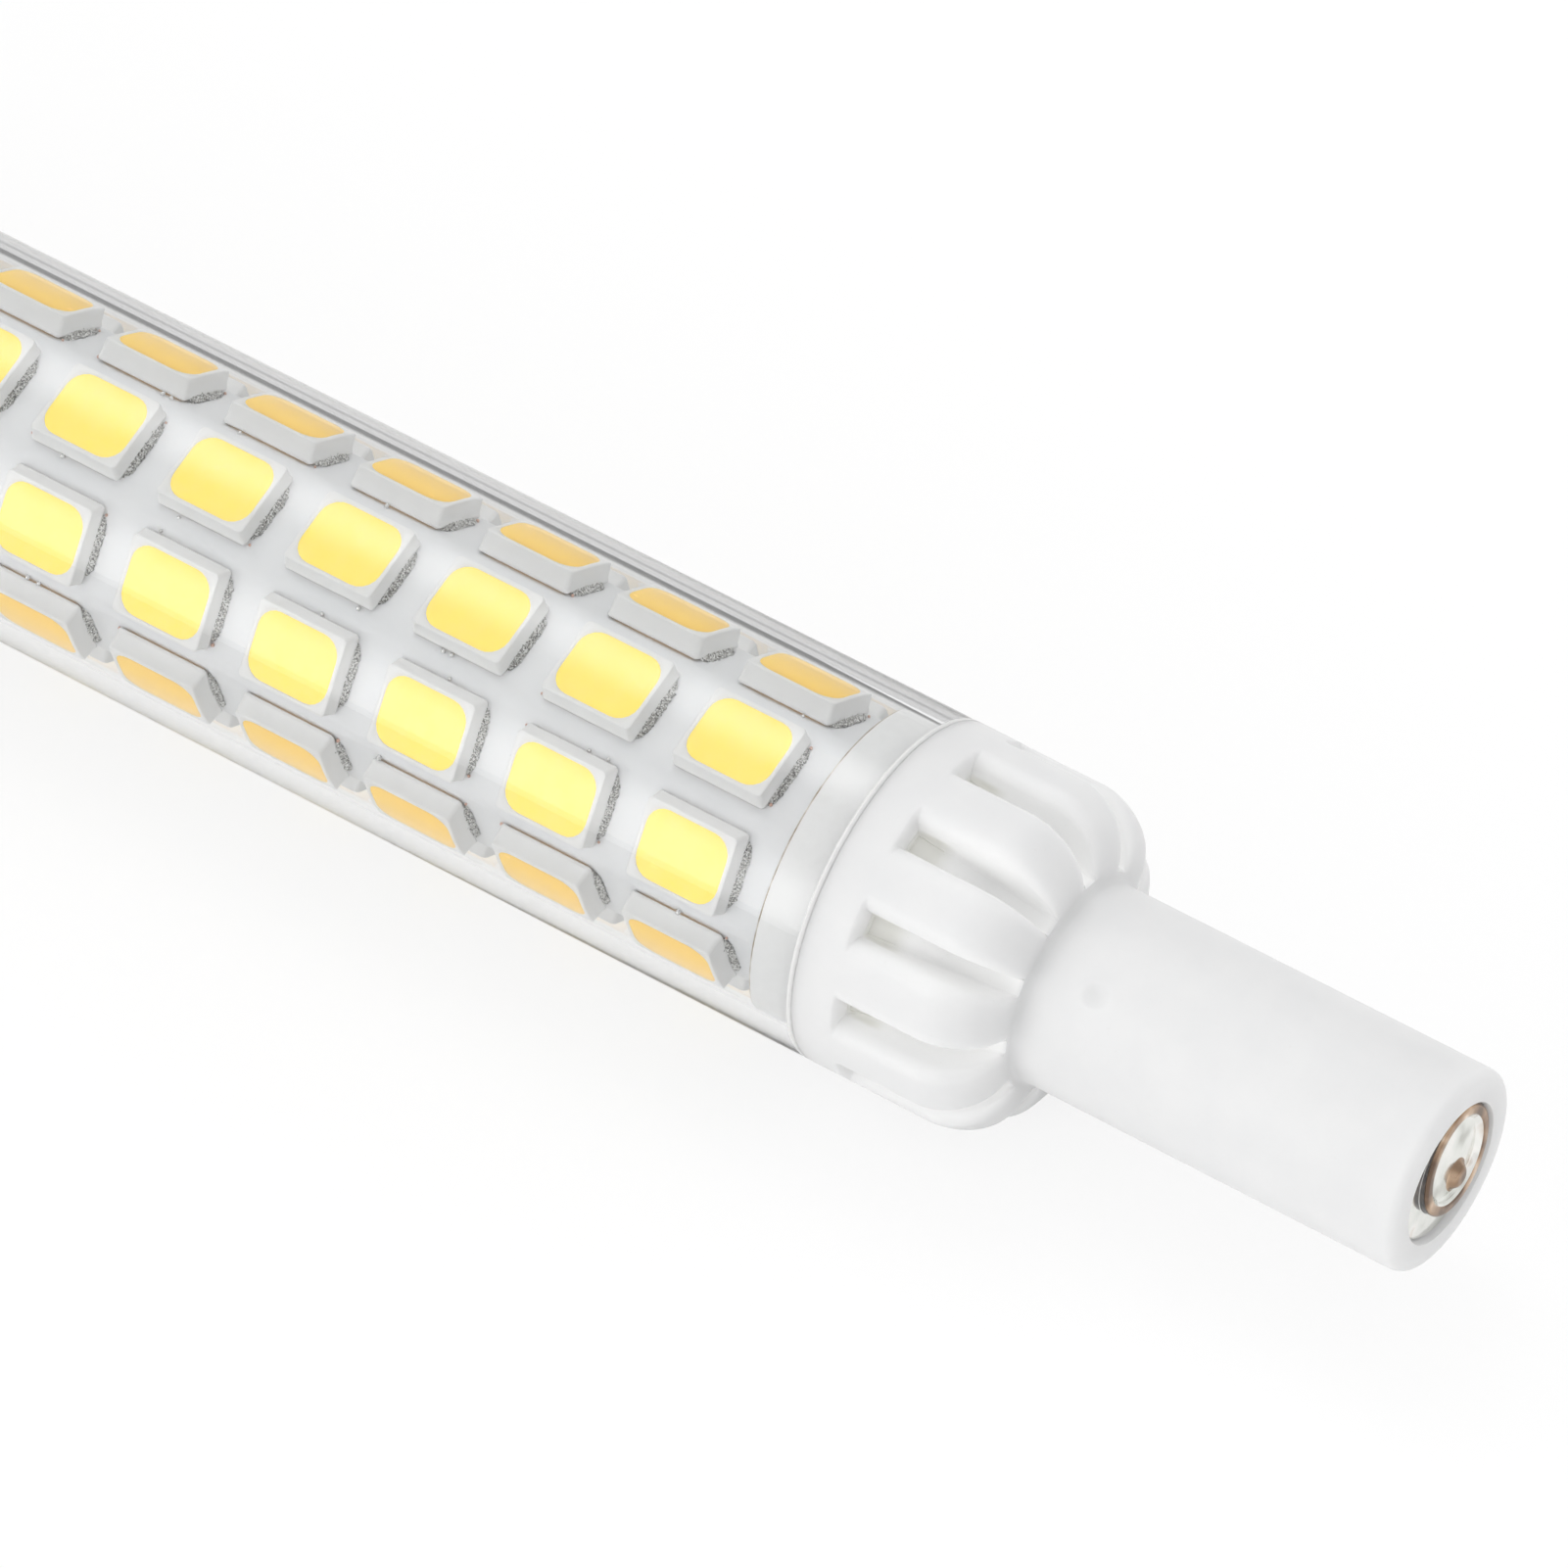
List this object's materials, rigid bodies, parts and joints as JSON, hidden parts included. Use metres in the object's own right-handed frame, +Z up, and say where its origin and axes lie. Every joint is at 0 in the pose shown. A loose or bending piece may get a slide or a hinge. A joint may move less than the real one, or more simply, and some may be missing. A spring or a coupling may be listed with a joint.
{
  "type": "linear led bulb",
  "caption": "Slim double-ended LED bulb: clear glass tube round a rolled board of yellow light packages, with petalled white ceramic ends and recessed button contacts.",
  "frame": {"origin": "centre of the bulb's box, on the tube's axis at half its length", "axes": "+X along the bulb from its left contact to its right one, +Z up as the bulb lies"},
  "size_m": [0.1176, 0.012, 0.012],
  "materials": {
    "clear_glass": "clear, polished",
    "white_board": "white solder mask with yellow phosphor windows",
    "white_ceramic": "matt white, unglazed",
    "white_cement": "matt",
    "nickel_plate": "bright nickel plate, slightly worn",
    "tinned_copper": "tinned",
    "woven_sleeve": "woven, off-white",
    "red_wire": "red insulation",
    "black_wire": "black insulation",
    "green_laminate": "green solder mask",
    "black_moulding": "matt",
    "varistor_body": "dark blue-grey",
    "resistor_body": "black glaze",
    "fuse_enamel": "matt enamel",
    "capacitor_sleeve": "dark shrink sleeve"
  },
  "bodies": {
    "root": {"glass_tube": "clear_glass", "led_board": "white_board", "end_cap_left": "white_ceramic", "end_cap_right": "white_ceramic", "cement_ring_left": "white_cement", "cement_ring_right": "white_cement", "contact_left": "nickel_plate", "contact_right": "nickel_plate", "feed_wire_left": "tinned_copper", "feed_wire_right": "tinned_copper", "wire_sleeve_left": "woven_sleeve", "wire_sleeve_right": "woven_sleeve", "link_wire_plus": "red_wire", "link_wire_minus": "black_wire", "driver_board": "green_laminate", "bridge_rectifier": "black_moulding", "driver_ic_1": "black_moulding", "driver_ic_2": "black_moulding", "varistor": "varistor_body", "sense_resistor_1": "resistor_body", "sense_resistor_2": "resistor_body", "bleed_resistor": "resistor_body", "fuse_resistor": "fuse_enamel", "smoothing_capacitor": "capacitor_sleeve"}
  },
  "joints": []
}
